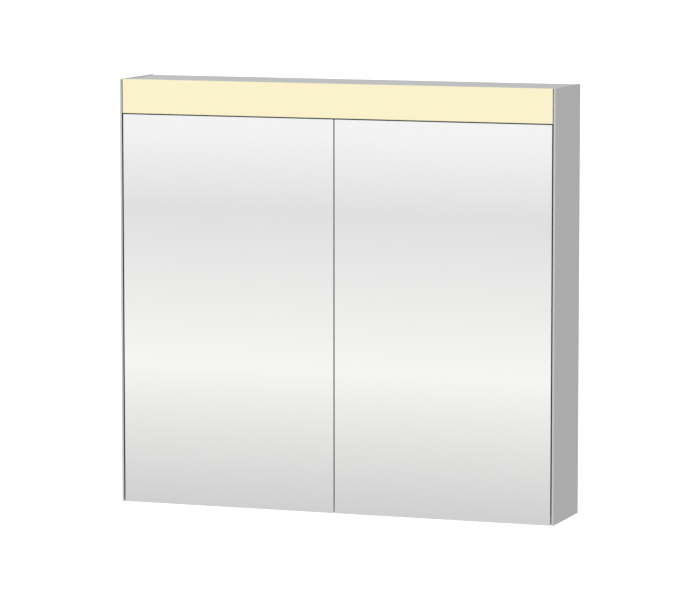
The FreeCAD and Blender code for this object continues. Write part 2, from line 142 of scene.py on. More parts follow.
def makeWorld(spec):
    world = bpy.data.worlds.new("softStudio")
    bpy.context.scene.world = world
    world.use_nodes = True
    world.cycles.sampling_method = "NONE"
    tree = world.node_tree
    tree.nodes.clear()
    coords = addNode(tree, "ShaderNodeTexCoord")
    axes = addNode(tree, "ShaderNodeSeparateXYZ", inputs={"Vector": coords.outputs["Generated"]})
    forward = addNode(tree, "ShaderNodeMath", {"operation": "ABSOLUTE"}, {0: axes.outputs["Y"]})
    forward = addNode(tree, "ShaderNodeMath", {"operation": "MAXIMUM"},
                      {0: forward.outputs[0], 1: spec["leastForward"]})
    slope = addNode(tree, "ShaderNodeMath", {"operation": "DIVIDE"},
                    {0: axes.outputs["Z"], 1: forward.outputs[0]})
    fromCentre = addNode(tree, "ShaderNodeMath", {"operation": "SUBTRACT"},
                         {0: slope.outputs[0], 1: spec["slopeCentre"]})
    spread = addNode(tree, "ShaderNodeMath", {"operation": "MULTIPLY"},
                     {0: fromCentre.outputs[0], 1: spec["slopeSpread"]})
    bent = addNode(tree, "ShaderNodeMath", {"operation": "ARCTANGENT"}, {0: spread.outputs[0]})
    place = addNode(tree, "ShaderNodeMath", {"operation": "MULTIPLY_ADD"},
                    {0: bent.outputs[0], 1: 1 / math.pi, 2: 0.5})
    stops = []
    for slopeOfBand, tone in backdropBands:
        colour = np.array(toLinear(tone)) / spec["silverLoss"]
        stops.append((bandPlace(slopeOfBand), (*colour[:3], 1)))
    bands = addNode(tree, "ShaderNodeValToRGB", inputs={"Fac": place.outputs[0]}, stops=stops)
    behind = addNode(tree, "ShaderNodeMapRange", inputs={
        "Value": axes.outputs["Y"],
        "From Min": spec["backFrom"][0], "From Max": spec["backFrom"][1]})
    glossy = addNode(tree, "ShaderNodeMix", {"data_type": "RGBA"}, {
        0: behind.outputs["Result"], 6: bands.outputs["Color"], 7: toLinear(spec["backTone"])})
    height = addNode(tree, "ShaderNodeMapRange", inputs={
        "Value": axes.outputs["Z"],
        "From Min": spec["skyFrom"][0], "From Max": spec["skyFrom"][1]})
    sky = addNode(tree, "ShaderNodeValToRGB", inputs={"Fac": height.outputs["Result"]},
                  stops=[(0, toLinear(spec["skyTones"][0])), (1, toLinear(spec["skyTones"][1]))])
    path = addNode(tree, "ShaderNodeLightPath")
    lit = addNode(tree, "ShaderNodeMix", {"data_type": "RGBA"}, {
        0: path.outputs["Is Glossy Ray"], 6: sky.outputs["Color"], 7: glossy.outputs[2]})
    seen = addNode(tree, "ShaderNodeMix", {"data_type": "RGBA"}, {
        0: path.outputs["Is Camera Ray"], 6: lit.outputs[2], 7: (1, 1, 1, 1)})
    back = addNode(tree, "ShaderNodeBackground", inputs={"Color": seen.outputs[2], "Strength": 1.0})
    addNode(tree, "ShaderNodeOutputWorld", inputs={"Surface": back.outputs[0]})


# Soft boxes light the front and the top; the mirrors show the backdrop only.
softBoxes = {
    "overheadBox": {"place": (-0.4, -1.2, 3.2), "aim": (0, -0.1, 0),
                    "size": (3.0, 2.0), "watts": 30},
    "frontBox": {"place": (-2.6, -4.2, 1.6), "aim": (0, -0.1, 0),
                 "size": (2.4, 2.4), "watts": 30},
}


def makeSoftBox(name, spec):
    data = bpy.data.lights.new(name, "AREA")
    data.shape = "RECTANGLE"
    data.size, data.size_y = spec["size"]
    data.energy = spec["watts"]
    lamp = bpy.data.objects.new(name, data)
    lamp.location = spec["place"]
    toward = np.subtract(spec["aim"], spec["place"])
    lamp.rotation_euler = (math.acos(-toward[2] / np.linalg.norm(toward)), 0,
                           math.atan2(toward[1], toward[0]) - math.pi / 2)
    lamp.visible_glossy = False
    lamp.visible_camera = False
    bpy.context.collection.objects.link(lamp)


makeWorld(studio)
for name, spec in softBoxes.items():
    makeSoftBox(name, spec)
bpy.context.scene.view_settings.view_transform = "Standard"
print("studio set")

materials = {}
noiseLook = {
    "low": 0.35,  # nearly all values of the mixed noise lie between low and high
    "high": 0.65,
    "grainDetail": 3.0,
    "grainRoughness": 0.6,
    "cloudDetail": 2.0,
    "cloudShare": 0.35,  # how much of the mix is clouds, unless a finish says otherwise
}


# A finish starts as a Principled surface with its plain values on its own sockets.
# Fine grain and broad clouds in object space then drive its tone and roughness, and
# the grain its relief, so that the lighter spots are also the higher ones.
def makeFinish(name, look):
    material = bpy.data.materials.new(name)
    material.use_nodes = True
    tree = material.node_tree
    tree.nodes.clear()
    shader = addNode(tree, "ShaderNodeBsdfPrincipled", inputs=look.get("constants"))
    addNode(tree, "ShaderNodeOutputMaterial", inputs={"Surface": shader.outputs["BSDF"]})
    coords = addNode(tree, "ShaderNodeTexCoord")
    drawn = addNode(tree, "ShaderNodeMapping", inputs={
        "Vector": coords.outputs["Object"], "Scale": look.get("stretch", (1, 1, 1))})
    grain = addNode(tree, "ShaderNodeTexNoise", inputs={
        "Vector": drawn.outputs["Vector"], "Scale": 1000 / look["grainMm"],
        "Detail": noiseLook["grainDetail"], "Roughness": noiseLook["grainRoughness"]})
    clouds = addNode(tree, "ShaderNodeTexNoise", inputs={
        "Vector": drawn.outputs["Vector"], "Scale": 1000 / look["cloudMm"],
        "Detail": noiseLook["cloudDetail"]})
    share = look.get("cloudShare", noiseLook["cloudShare"])
    clouded = addNode(tree, "ShaderNodeMath", {"operation": "MULTIPLY"},
                      {0: clouds.outputs["Fac"], 1: share})
    both = addNode(tree, "ShaderNodeMath", {"operation": "MULTIPLY_ADD"},
                   {0: grain.outputs["Fac"], 1: 1 - share, 2: clouded.outputs[0]})
    low, high = noiseLook["low"], noiseLook["high"]
    tones = addNode(tree, "ShaderNodeValToRGB", inputs={"Fac": both.outputs[0]},
                    stops=[(low, toLinear(look["tones"][0])), (high, toLinear(look["tones"][1]))])
    gloss = addNode(tree, "ShaderNodeMapRange", inputs={
        "Value": both.outputs[0], "From Min": low, "From Max": high,
        "To Min": look["roughness"][0], "To Max": look["roughness"][1]})
    tree.links.new(tones.outputs["Color"], shader.inputs["Base Color"])
    tree.links.new(gloss.outputs["Result"], shader.inputs["Roughness"])
    if "reliefMm" in look:
        relief = addNode(tree, "ShaderNodeBump", inputs={
            "Height": grain.outputs["Fac"], "Strength": look["relief"],
            "Distance": look["reliefMm"] / 1000})
        tree.links.new(relief.outputs["Normal"], shader.inputs["Normal"])
    materials[name] = material
    return material, tree, shader


# Silvered float glass: a clean, neutral mirror with the faintest veil of wiping marks.
makeFinish("silveredFloatGlass", {
    "constants": {"Metallic": 1.0},
    "grainMm": 25, "cloudMm": 180, "cloudShare": 0.6, "stretch": (1, 1, 0.4),
    "tones": ("#F6F6F6", "#F7F7F7"), "roughness": (0.0, 0.012),
})

# Ground and polished glass edge: bright green-grey, with fine lines from the wheel.
makeFinish("polishedGlassEdge", {
    "constants": {"IOR": 1.52, "Coat Weight": 0.4, "Coat Roughness": 0.05},
    "grainMm": 2, "cloudMm": 40, "stretch": (1, 1, 0.1),
    "tones": ("#8FA39B", "#A6B8B1"), "roughness": (0.08, 0.2),
    "relief": 0.1, "reliefMm": 0.02,
})

# Mirror backing paint: flat grey lacquer that seals the silver, slightly mottled.
makeFinish("mirrorBackingPaint", {
    "constants": {"IOR": 1.5},
    "grainMm": 1.5, "cloudMm": 60, "tones": ("#7B7E80", "#86898B"),
    "roughness": (0.45, 0.6), "relief": 0.15, "reliefMm": 0.03,
})

# Satin anodised aluminium: etched, then anodised, so it is grey and soft, with die
# lines along the extrusion, drawn at 2.5 mm where real ones are ten times finer.
makeFinish("satinAnodisedAluminium", {
    "constants": {"Metallic": 1.0},
    "grainMm": 2.5, "cloudMm": 260, "cloudShare": 0.25, "stretch": (1, 1, 0.02),
    "tones": ("#CCCCCC", "#D2D2D2"), "roughness": (0.34, 0.42),
    "relief": 0.12, "reliefMm": 0.05,
})

# Front edge of the plates: the same metal, made lighter and glossier as a painted highlight, so it reads as a pale
# line.
makeFinish("milledAluminiumEdge", {
    "constants": {"Metallic": 1.0},
    "grainMm": 1.2, "cloudMm": 90, "stretch": (1, 1, 0.04),
    "tones": ("#D3D4D4", "#DBDCDC"), "roughness": (0.24, 0.34),
    "relief": 0.1, "reliefMm": 0.03,
})

# Melamine-faced board: matt light grey with a fine pearl structure, about 1 mm.
makeFinish("mattMelamineBoard", {
    "constants": {"IOR": 1.5},
    "grainMm": 1.1, "cloudMm": 140, "cloudShare": 0.3,
    "tones": ("#CDCECD", "#D7D8D7"), "roughness": (0.46, 0.6),
    "relief": 0.14, "reliefMm": 0.06,
})

# Lacquered top cover: mid grey, rolled on, so there is a soft orange peel. Its grey is set darker than the plates'
# metal, painted shade that keeps the top, lit by the overhead box, at a mid tone.
makeFinish("rolledGreyLacquer", {
    "constants": {"IOR": 1.45, "Specular IOR Level": 0.2},
    "grainMm": 4, "cloudMm": 180, "tones": ("#AAAAAB", "#B2B2B3"),
    "roughness": (0.6, 0.72), "relief": 0.12, "reliefMm": 0.06,
})

# Foiled door frame: wrapped profile between the glasses, low sheen. Its mid grey is darkened as painted shade, so
# the gaps where the frame shows read dark.
makeFinish("foiledDoorFrame", {
    "constants": {"IOR": 1.48},
    "grainMm": 1.6, "cloudMm": 80, "stretch": (1, 1, 0.3),
    "tones": ("#737577", "#7E8082"), "roughness": (0.38, 0.52),
    "relief": 0.12, "reliefMm": 0.04,
})

# Opal acrylic lit from behind: an even pale yellow with a satin face.
makeFinish("litOpalAcrylic", {
    "constants": {"IOR": 1.49, "Emission Color": toLinear("#F9F0C6"),
                  "Emission Strength": 0.89},
    "grainMm": 6, "cloudMm": 220, "tones": ("#4A4840", "#4E4C44"),
    "roughness": (0.4, 0.5), "relief": 0.03, "reliefMm": 0.03,
})

# Sawn opal edges and ribs: the same sheet where no light leaves it. Their dark olive is painted shade, so where
# they show in the gaps round the strip they read dark.
makeFinish("sawnOpalEdge", {
    "constants": {"IOR": 1.49},
    "grainMm": 1.5, "cloudMm": 40, "tones": ("#5B574A", "#676355"),
    "roughness": (0.5, 0.65), "relief": 0.2, "reliefMm": 0.05,
})

# Moulded white ABS: spark-eroded tool texture and a satin skin.
makeFinish("mouldedWhiteAbs", {
    "constants": {"IOR": 1.53},
    "grainMm": 0.8, "cloudMm": 50, "tones": ("#E6E6E3", "#EEEEEB"),
    "roughness": (0.28, 0.42), "relief": 0.16, "reliefMm": 0.04,
})

# Powder-coated steel: white with a faint orange peel.
makeFinish("whitePowderCoat", {
    "constants": {"IOR": 1.5},
    "grainMm": 2.2, "cloudMm": 90, "tones": ("#E5E6E5", "#EBECEB"),
    "roughness": (0.35, 0.45), "relief": 0.2, "reliefMm": 0.05,
})

# Nickel-plated steel: warm grey and bright, with soft polishing clouds.
makeFinish("nickelPlatedSteel", {
    "constants": {"Metallic": 1.0},
    "grainMm": 1.4, "cloudMm": 14, "tones": ("#B9B4AB", "#CBC7BF"),
    "roughness": (0.16, 0.3), "relief": 0.06, "reliefMm": 0.02,
})

# Zinc-plated steel: cool grey with a blotchy passivated sheen.
makeFinish("zincPlatedSteel", {
    "constants": {"Metallic": 1.0},
    "grainMm": 1.6, "cloudMm": 10, "tones": ("#A9AFB6", "#C6CACF"),
    "roughness": (0.25, 0.42), "relief": 0.08, "reliefMm": 0.02,
})

# Clear float glass: nearly colourless through its thickness, a little wavy in gloss.
makeFinish("clearFloatGlass", {
    "constants": {"IOR": 1.52, "Transmission Weight": 1.0},
    "grainMm": 30, "cloudMm": 120, "tones": ("#EFF7F4", "#F3F9F6"),
    "roughness": (0.0, 0.01),
})

# Shelf edge: light that has run along the sheet comes out green.
makeFinish("greenShelfEdge", {
    "constants": {"IOR": 1.52, "Transmission Weight": 0.45},
    "grainMm": 2, "cloudMm": 30, "stretch": (0.1, 0.1, 1),
    "tones": ("#6FA692", "#86BBA6"), "roughness": (0.06, 0.16),
    "relief": 0.08, "reliefMm": 0.02,
})

# Clear silicone: soft and cloudy with a slightly dusty skin.
makeFinish("clearSiliconeRubber", {
    "constants": {"IOR": 1.41, "Transmission Weight": 0.55},
    "grainMm": 1.2, "cloudMm": 8, "tones": ("#DADBD8", "#E6E7E4"),
    "roughness": (0.35, 0.5), "relief": 0.1, "reliefMm": 0.03,
})

# Moulded EPDM rubber: near black and dull, with a matt tool skin.
makeFinish("mouldedEpdmRubber", {
    "constants": {"IOR": 1.5},
    "grainMm": 0.8, "cloudMm": 12, "tones": ("#19191A", "#252526"),
    "roughness": (0.65, 0.8), "relief": 0.25, "reliefMm": 0.05,
})

# White solder mask on a circuit board: hard, slightly glossy and uneven.
makeFinish("whiteSolderMask", {
    "constants": {"IOR": 1.5},
    "grainMm": 3, "cloudMm": 40, "tones": ("#E2E5E1", "#ECEEEB"),
    "roughness": (0.25, 0.35), "relief": 0.05, "reliefMm": 0.02,
})

# Lit phosphor of an LED: yellow gel, glowing.
makeFinish("litLedPhosphor", {
    "constants": {"Emission Color": toLinear("#FFF1C0"), "Emission Strength": 1.2},
    "grainMm": 0.5, "cloudMm": 3, "tones": ("#E6C94B", "#F2DB6A"),
    "roughness": (0.3, 0.4), "relief": 0.1, "reliefMm": 0.02,
})

# Stamped brass: yellow metal with drawn lines from the tool.
makeFinish("stampedBrass", {
    "constants": {"Metallic": 1.0},
    "grainMm": 1.0, "cloudMm": 6, "tones": ("#B08B42", "#CBA860"),
    "roughness": (0.25, 0.4), "relief": 0.06, "reliefMm": 0.02,
})

slotFinish = {
    "anodised_aluminium": "satinAnodisedAluminium",
    "grey_board": "mattMelamineBoard",
    # the door frame's mid grey is painted shade for the gaps round the doors
    "door_board": "foiledDoorFrame",
    "mirror_glass": "silveredFloatGlass",
    "shelf_glass": "clearFloatGlass",
    "nickel_plate": "nickelPlatedSteel",
    "zinc_steel": "zincPlatedSteel",
    "clear_rubber": "clearSiliconeRubber",
    "opal_acrylic": "litOpalAcrylic",
    "white_sheet": "whitePowderCoat",
    "white_plastic": "mouldedWhiteAbs",
    "white_circuit": "whiteSolderMask",
    "led_phosphor": "litLedPhosphor",
    "dark_rubber": "mouldedEpdmRubber",
    "brass_contact": "stampedBrass",
}
# the top cover's darker grey is painted shade
ownFinish = {"top_panel": "rolledGreyLacquer"}
for node, shown in frame["nodes"].items():
    for place in shown.material_slots:
        place.material = materials[ownFinish.get(node, slotFinish[slotOf[node]])]
print("finishes made")


# The floor is one square far larger than the cabinet, seen from above only.
def makeFloor(spec):
    material, tree, shader = makeFinish("mattPaperFloor", {
        "constants": {"Emission Color": (1, 1, 1, 1), "Emission Strength": 0.35},
        "grainMm": 40, "cloudMm": 900, "tones": ("#F2F2F0", "#F7F7F5"),
        "roughness": (0.85, 0.95), "relief": 0.05, "reliefMm": 0.2,
    })
    face = addNode(tree, "ShaderNodeNewGeometry")
    clear = addNode(tree, "ShaderNodeBsdfTransparent")
    both = addNode(tree, "ShaderNodeMixShader", inputs={
        0: face.outputs["Backfacing"], 1: shader.outputs["BSDF"], 2: clear.outputs[0]})
    output = next(node for node in tree.nodes if node.type == "OUTPUT_MATERIAL")
    tree.links.new(both.outputs[0], output.inputs["Surface"])
    corners = np.array([[-1, -1], [1, -1], [1, 1], [-1, 1]]) * spec["floorReach"]
    mesh = bpy.data.meshes.new("paleFloor")
    mesh.from_pydata(np.c_[corners, np.full(4, spec["floorHeight"])].tolist(), [],
                     [(0, 1, 2, 3)])
    mesh.materials.append(material)
    floor = bpy.data.objects.new("paleFloor", mesh)
    bpy.context.collection.objects.link(floor)
    floor.visible_glossy = False


makeFloor(studio)
print("floor laid")


# Four-sided faces between neighbouring rings of a grid; a loop joins last to first.
def gridFaces(rings, around, loop):
    ring, step = np.mgrid[0:rings if loop else rings - 1, 0:around]
    after, onward = (step + 1) % around, (ring + 1) % rings
    quads = np.stack([ring * around + step, ring * around + after,
                      onward * around + after, onward * around + step], -1)
    return quads.reshape(-1, 4)


# Six times the volume inside a closed grid: the sum over its triangles of
# a . (b x c), which is negative where the faces point inwards.
def signedVolume(points, quads, ends):
    a, b, c, d = (points[quads[:, corner]] for corner in range(4))
    total = np.sum(a * (np.cross(b, c) + np.cross(c, d)))
    for end in ends:
        fan = points[end]
        total += np.sum(fan[0] * np.cross(fan[1:-1], fan[2:]))
    return total


# One object from several closed shapes.  A shape is a grid of rings of points and its
# finish numbers: one for all, or first end, each band between rings, last end.  A
# shape marked as a loop, such as a washer, has no ends.
def makePiece(name, node, shapes, finishes, sharpDeg=35):
    corners, faces, marks, rounds = [], [], [], []
    base = 0
    for grid, bands, *loop in shapes:
        rings, around = grid.shape[:2]
        points = grid.reshape(-1, 3)
        quads = gridFaces(rings, around, bool(loop))
        ends = [] if loop else [np.arange(around)[::-1],
                                np.arange(around) + (rings - 1) * around]
        turn = 1 if signedVolume(points, quads, ends) > 0 else -1
        faces += (quads[:, ::turn] + base).tolist()
        faces += [(end[::turn] + base).tolist() for end in ends]
        if np.isscalar(bands):
            bands = np.full(rings + 1, bands)
        marks.append(np.repeat(bands[1:rings] if ends else bands[:rings], around))
        marks.append([bands[0], bands[-1]] if ends else [])
        rounds += [True] * len(quads) + [False] * len(ends)
        corners.append(points)
        base += len(points)
    mesh = bpy.data.meshes.new(name)
    mesh.from_pydata(np.concatenate(corners).tolist(), [], faces)
    mesh.polygons.foreach_set("material_index", np.concatenate(marks).astype(np.int32))
    mesh.set_sharp_from_angle(angle=math.radians(sharpDeg))
    mesh.polygons.foreach_set("use_smooth", rounds)
    for finish in finishes:
        mesh.materials.append(materials[finish])
    mesh.update()
    piece = bpy.data.objects.new(name, mesh)
    bpy.context.collection.objects.link(piece)
    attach(piece, bodyOf[node])
    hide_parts(node)
    return piece


# A closed outline with rounded corners: at each corner a circle arc, written as the
# rational curve ((1-t)^2 A + 2wt(1-t) C + t^2 B) / ((1-t)^2 + 2wt(1-t) + t^2) with
# w = cos 45, from A, one radius before the corner C, to B, one radius after it.
def roundedOutline(corners, radius, steps=5):
    corners = np.asarray(corners, float)
    radius = np.broadcast_to(radius, len(corners))[:, None]
    before, after = np.roll(corners, 1, 0) - corners, np.roll(corners, -1, 0) - corners
    before /= np.linalg.norm(before, axis=1)[:, None]
    after /= np.linalg.norm(after, axis=1)[:, None]
    start, stop = (corners + before * radius)[:, None], (corners + after * radius)[:, None]
    t = np.linspace(0, 1, steps + 1)[None, :, None]
    weight = 2 * math.cos(math.pi / 4) * t * (1 - t)
    curve = (1 - t) ** 2 * start + weight * corners[:, None] + t ** 2 * stop
    return (curve / ((1 - t) ** 2 + weight + t ** 2)).reshape(-1, 2)


def rectangle(low, high):
    return [(low[0], low[1]), (high[0], low[1]), (high[0], high[1]), (low[0], high[1])]


# A slab's section from its low face to its high one: quarter circles at its edges,
# inset = r (1 - sin a), rise = r (1 - cos a), as (inset, height) for each ring.
def edgeProfile(low, high, lowRound, highRound, steps=4):
    angle = np.linspace(0, math.pi / 2, steps + 1)
    inset, rise = 1 - np.sin(angle), 1 - np.cos(angle)
    first = np.c_[lowRound * inset, low + lowRound * rise]
    last = np.c_[highRound * inset, high - highRound * rise][::-1]
    return np.concatenate([first, last])


# The outline carried along the profile: each ring is the outline moved inwards along
# its mitres by the inset, and set at the height.  The axes say which way each runs.
def sweepOutline(outline, profile, axes):
    ahead = np.roll(outline, -1, 0) - outline
    ahead /= np.linalg.norm(ahead, axis=1)[:, None]
    x, y = outline.T
    winding = np.sign(np.sum(x * np.roll(y, -1) - y * np.roll(x, -1)))
    outwards = winding * np.c_[ahead[:, 1], -ahead[:, 0]]
    outwardsBehind = np.roll(outwards, 1, 0)
    mitre = outwards + outwardsBehind
    mitre /= 1 + np.sum(outwards * outwardsBehind, 1)[:, None]
    profile = np.asarray(profile, float)
    flat = outline[None] - mitre[None] * profile[:, 0, None, None]
    height = np.broadcast_to(profile[:, 1, None, None], (*flat.shape[:2], 1))
    grid = np.concatenate([flat, height], -1)
    return grid[..., ["uvh".index(axis) for axis in axes]]


# A profile of (radius, height) turned about an axis through a centre: each ring is
# r (cos a, sin a).  A third number gives the ring four lobes: r (1 + lobe cos 4a).
def turnProfile(profile, centre, axis, around=24, towards=1):
    profile = np.asarray([(*ring, 0) if len(ring) == 2 else ring for ring in profile], float)
    angle = np.arange(around) * 2 * math.pi / around
    radius = profile[:, 0, None] * (1 + profile[:, 2, None] * np.cos(4 * angle))
    height = np.broadcast_to(profile[:, 1, None] * towards, radius.shape)
    ways = {"x": (height, radius * np.cos(angle), radius * np.sin(angle)),
            "y": (radius * np.cos(angle), height, radius * np.sin(angle)),
            "z": (radius * np.cos(angle), radius * np.sin(angle), height)}
    return np.stack(ways[axis], -1) + np.asarray(centre)


def roundProfile(radius, start, stop, startRound, stopRound, steps=3):  # a rod's section
    rings = edgeProfile(start, stop, startRound, stopRound, steps)
    return np.c_[radius - rings[:, 0], rings[:, 1]]


# A ring's section, out from the bore, along the outside and back: a closed loop.
def ringProfile(bore, radius, start, stop, ease):
    outer = roundProfile(radius, start, stop, ease, ease)
    inner = roundProfile(bore, start, stop, ease, ease)
    inner[:, 0] = 2 * bore - inner[:, 0]
    return np.concatenate([outer, inner[::-1]])


# The lowest and highest corners of each separate solid in a CAD node: places that
# share a triangle take the smallest label among them, until no label changes.
def solidBoxes(node):
    mesh = frame["nodes"][node].data
    points = np.empty(len(mesh.vertices) * 3)
    mesh.vertices.foreach_get("co", points)
    places, label = np.unique(np.round(points.reshape(-1, 3), 6), axis=0, return_inverse=True)
    corners = np.empty(len(mesh.loops), np.int32)
    mesh.loops.foreach_get("vertex_index", corners)
    triangles = label.ravel()[corners].reshape(-1, 3)
    group, joined = None, np.arange(len(places))
    while not np.array_equal(group, joined):
        group = joined
        joined = group.copy()
        np.minimum.at(joined, triangles.ravel(), np.repeat(group[triangles].min(1), 3))
    return [(places[group == one].min(0), places[group == one].max(0))
            for one in np.unique(group)]


def faceCentres(piece):
    centres = np.empty(len(piece.data.polygons) * 3)
    piece.data.polygons.foreach_get("center", centres)
    return centres.reshape(-1, 3)


def faceFinishes(piece):
    finish = np.empty(len(piece.data.polygons), np.int32)
    piece.data.polygons.foreach_get("material_index", finish)
    return finish


# Outer plates: extruded flat bar with eased long edges; the front edge takes a lighter copy of the metal, a
# painted highlight.
sidePlate = {"corner": 0.0006, "arris": 0.0002}
for side in sides:
    node = side + "_side_plate"
    low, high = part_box(node)
    outline = roundedOutline(rectangle((low.y, low.z), (high.y, high.z)), sidePlate["corner"])
    profile = edgeProfile(low.x, high.x, sidePlate["arris"], sidePlate["arris"])
    plate = makePiece(side + "OuterPlate", node, [(sweepOutline(outline, profile, "huv"), 0)],
                      ["satinAnodisedAluminium", "milledAluminiumEdge"])
    # the front faces take the lighter metal, a painted highlight on the lip
    atFront = faceCentres(plate)[:, 1] < low.y + sidePlate["arris"]
    plate.data.polygons.foreach_set("material_index", atFront.astype(np.int32))
print("outer plates made")

# Mirror panes: silver on one face, backing paint on the other, polished edges.
# The inner pane of a door is cut back round both hinge cups.
pane = {
    "corner": 0.0012,
    "arris": 0.0002,
    "backArris": 0.0004,
    "notchRound": 0.006,
    "notchHalf": 0.032,
    "notchDepth": 0.043,
    "earHalf": 0.030,  # a cup's ears reach this far above and below its centre
    "arrisSteps": 2,
}
paneFinishes = ["silveredFloatGlass", "polishedGlassEdge", "mirrorBackingPaint"]


def makePane(name, node, corners, radii, silverInFront):
    low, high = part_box(node)
    arrises = (pane["arris"], pane["backArris"])
    profile = edgeProfile(low.y, high.y, *(arrises if silverInFront else arrises[::-1]),
                          pane["arrisSteps"])
    ends = (0, 2) if silverInFront else (2, 0)
    bands = [ends[0]] + [1] * (len(profile) - 1) + [ends[1]]
    outline = roundedOutline(corners, radii)
    makePiece(name, node, [(sweepOutline(outline, profile, "uhv"), bands)], paneFinishes)


for side, sign in sides.items():
    node = side + "_door_front_mirror"
    low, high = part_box(node)
    makePane(side + "DoorFrontMirror", node, rectangle((low.x, low.z), (high.x, high.z)),
             pane["corner"], True)

    node = side + "_door_rear_mirror"
    low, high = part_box(node)
    hingeEdge, freeEdge = (high.x, low.x) if sign > 0 else (low.x, high.x)
    deep = hingeEdge - sign * pane["notchDepth"]
    cupsLow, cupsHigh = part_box(side + "_door_hinge_cups")
    corners, radii = [(freeEdge, low.z), (hingeEdge, low.z)], [pane["corner"]] * 2
    for height in (cupsLow.z + pane["earHalf"], cupsHigh.z - pane["earHalf"]):
        below, above = height - pane["notchHalf"], height + pane["notchHalf"]
        corners += [(hingeEdge, below), (deep, below), (deep, above), (hingeEdge, above)]
        radii += [pane["corner"], pane["notchRound"], pane["notchRound"], pane["corner"]]
    corners += [(hingeEdge, high.z), (freeEdge, high.z)]
    radii += [pane["corner"]] * 2
    makePane(side + "DoorRearMirror", node, corners, radii, False)
print("door mirrors made")

# Lit strip: the face and the top edge glow; its sides, its back and the ribs do not, and they take the dark edge
# finish, which is painted shade.
strip = {
    "thick": 0.003,
    "rim": 0.0003,
    "backEdge": 0.0003,
    "corner": 0.0006,
    "rib": 0.0015,
    "ribSide": 0.0121,
    "ribHeights": (-0.0585, -0.014),  # from the strip's top edge
    "ribSteps": 2,
}


def makeStrip(spec):
    low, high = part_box("light_diffuser")
    outline = roundedOutline(rectangle((low.x, low.z), (high.x, high.z)), spec["corner"])
    back = low.y + spec["thick"]
    profile = edgeProfile(low.y, back, spec["rim"], spec["backEdge"])
    shapes = [(sweepOutline(outline, profile, "uhv"), [0] + [1] * len(profile))]
    for height in spec["ribHeights"]:
        start = high.z + height
        ends = rectangle((low.x + spec["ribSide"], start),
                         (high.x - spec["ribSide"], start + spec["rib"]))
        outline = roundedOutline(ends, spec["backEdge"], spec["ribSteps"])
        profile = edgeProfile(back, high.y, spec["backEdge"], spec["backEdge"],
                              spec["ribSteps"])
        shapes.append((sweepOutline(outline, profile, "uhv"), 1))
    piece = makePiece("litStripFront", "light_diffuser", shapes,
                      ["litOpalAcrylic", "sawnOpalEdge"])
    finish, height = faceFinishes(piece), faceCentres(piece)[:, 2]
    finish[height > high.z - spec["rim"]] = 0
    piece.data.polygons.foreach_set("material_index", finish)


makeStrip(strip)
print("lit strip made")

# Glass shelves: clear through the faces, green at the pencil-polished rim.
shelf = {"corner": 0.004, "pencil": 0.0022, "cornerSteps": 8, "rimSteps": 5, "sharpDeg": 50}
for side in sides:
    for level in ("upper", "lower"):
        node = side + "_" + level + "_shelf"
        low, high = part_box(node)
        outline = roundedOutline(rectangle((low.x, low.y), (high.x, high.y)),
                                 shelf["corner"], shelf["cornerSteps"])
        profile = edgeProfile(low.z, high.z, shelf["pencil"], shelf["pencil"],
                              shelf["rimSteps"])
        bands = [0] + [1] * (len(profile) - 1) + [0]
        makePiece(side + level.title() + "Shelf", node,
                  [(sweepOutline(outline, profile, "uvh"), bands)],
                  ["clearFloatGlass", "greenShelfEdge"], shelf["sharpDeg"])
print("shelves made")

# Hanger caps: thin snap-on covers, open to the wall, with a soft front edge.
cap = {
    "wide": 0.044,
    "corner": 0.003,
    "front": 0.002,
    "wall": 0.0015,
    "lip": 0.0004,
    "cornerSteps": 6,
    "frontSteps": 5,
}


def makeCaps(spec):
    low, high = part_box("hanger_covers")
    outer = edgeProfile(low.y, high.y, spec["front"], spec["lip"], spec["frontSteps"])
    profile = np.r_[outer, [(spec["wall"], high.y), (spec["wall"], low.y + spec["wall"])]]
    shapes = []
    for left in (low.x, high.x - spec["wide"]):
        outline = roundedOutline(rectangle((left, low.z), (left + spec["wide"], high.z)),
                                 spec["corner"], spec["cornerSteps"])
        shapes.append((sweepOutline(outline, profile, "uhv"), 0))
    makePiece("hangerCaps", "hanger_covers", shapes, ["mouldedWhiteAbs"])


makeCaps(cap)
print("hanger caps made")

# Rocker of the light switch: a dished face with eased edges on its two stub axles.
rocker = {
    "bodyHalf": 0.0104,
    "half": 0.0156,
    "wing": 0.0064,
    "dish": 0.0045,
    "shoulder": 0.0034,
    "heel": (0.006, -0.0035),
    "tiltDeg": -7.0,
    "edge": 0.0007,
    "dishRound": 0.007,
    "stub": 0.0010,
    "stubReach": 0.0119,
    "stubEase": 0.0003,
    "cornerSteps": 6,
    "around": 16,
}


def makeRocker(spec):
    joint = next(j for j in frame["joints"] if j["name"] == "light_switch")
    pivot = np.array(joint["pos_m"])
    heelHalf, heelDepth = spec["heel"]
    half, small = spec["half"], spec["edge"]
    # (height, reach forwards) of each corner, before the rocker is tilted
    section = np.array([(half, spec["wing"]), (0, spec["dish"]), (-half, spec["wing"]),
                        (-half, spec["shoulder"]), (-heelHalf, heelDepth),
                        (heelHalf, heelDepth), (half, spec["shoulder"])])
    tilt = math.radians(spec["tiltDeg"])
    height, forward = section.T
    y = -forward * math.cos(tilt) - height * math.sin(tilt)
    z = -forward * math.sin(tilt) + height * math.cos(tilt)
    radii = [small, spec["dishRound"], small, small, small, small, small]
    outline = roundedOutline(np.c_[y + pivot[1], z + pivot[2]], radii, spec["cornerSteps"])
    profile = edgeProfile(pivot[0] - spec["bodyHalf"], pivot[0] + spec["bodyHalf"], small, small)
    stubs = roundProfile(spec["stub"], -spec["stubReach"], spec["stubReach"],
                         spec["stubEase"], spec["stubEase"])
    makePiece("switchRocker", "power_rocker",
              [(sweepOutline(outline, profile, "huv"), 0),
               (turnProfile(stubs, pivot, "x", spec["around"]), 0)], ["mouldedWhiteAbs"])


makeRocker(rocker)
print("rocker made")

